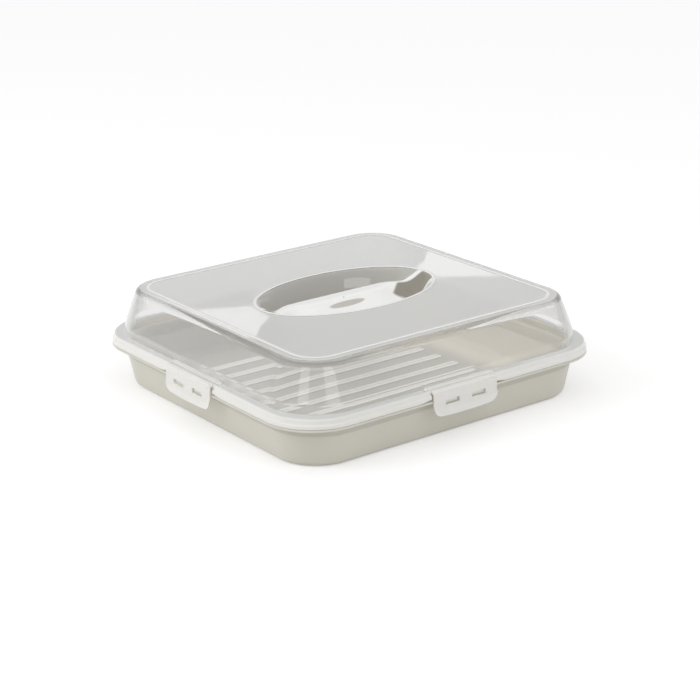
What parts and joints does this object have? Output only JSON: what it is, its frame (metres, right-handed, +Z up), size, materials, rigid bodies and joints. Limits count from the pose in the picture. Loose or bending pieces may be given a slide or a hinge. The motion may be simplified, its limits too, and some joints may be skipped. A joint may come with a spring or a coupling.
{
  "type": "cake carrier",
  "caption": "Square cake carrier: shallow cream tray under a clear hood with an oval grip recess, held down by hinged clips with twin windows.",
  "frame": {"origin": "bottom centre of the tray's foot", "axes": "+X to the right along the front side, +Y to the back, +Z up"},
  "size_m": [0.3614, 0.3514, 0.0952],
  "materials": {
    "tray_plastic": "satin, moulded cream polypropylene",
    "hood_plastic": "clear, faintly hazy, glossy",
    "clip_plastic": "translucent, milky, glossy"
  },
  "bodies": {
    "tray": {"tray": "tray_plastic"},
    "hood": {"hood": "hood_plastic"},
    "clip_front": {"clip_front": "clip_plastic"},
    "clip_back": {"clip_back": "clip_plastic"},
    "clip_left": {"clip_left": "clip_plastic"},
    "clip_right": {"clip_right": "clip_plastic"}
  },
  "joints": [
    {"name": "hood_lift", "type": "slide", "parent": "tray", "child": "hood", "axis": [0, 0, 1], "range_m": [0, 0.12]},
    {"name": "clip_front_hinge", "type": "hinge", "parent": "hood", "child": "clip_front", "pos_m": [0, -0.1706, 0.0504], "axis": [-1, 0, 0], "range_deg": [0, 105]},
    {"name": "clip_back_hinge", "type": "hinge", "parent": "hood", "child": "clip_back", "pos_m": [0, 0.1706, 0.0504], "axis": [1, 0, 0], "range_deg": [0, 105]},
    {"name": "clip_left_hinge", "type": "hinge", "parent": "hood", "child": "clip_left", "pos_m": [-0.1756, 0, 0.0504], "axis": [0, 1, 0], "range_deg": [0, 105]},
    {"name": "clip_right_hinge", "type": "hinge", "parent": "hood", "child": "clip_right", "pos_m": [0.1756, 0, 0.0504], "axis": [0, -1, 0], "range_deg": [0, 105]}
  ]
}
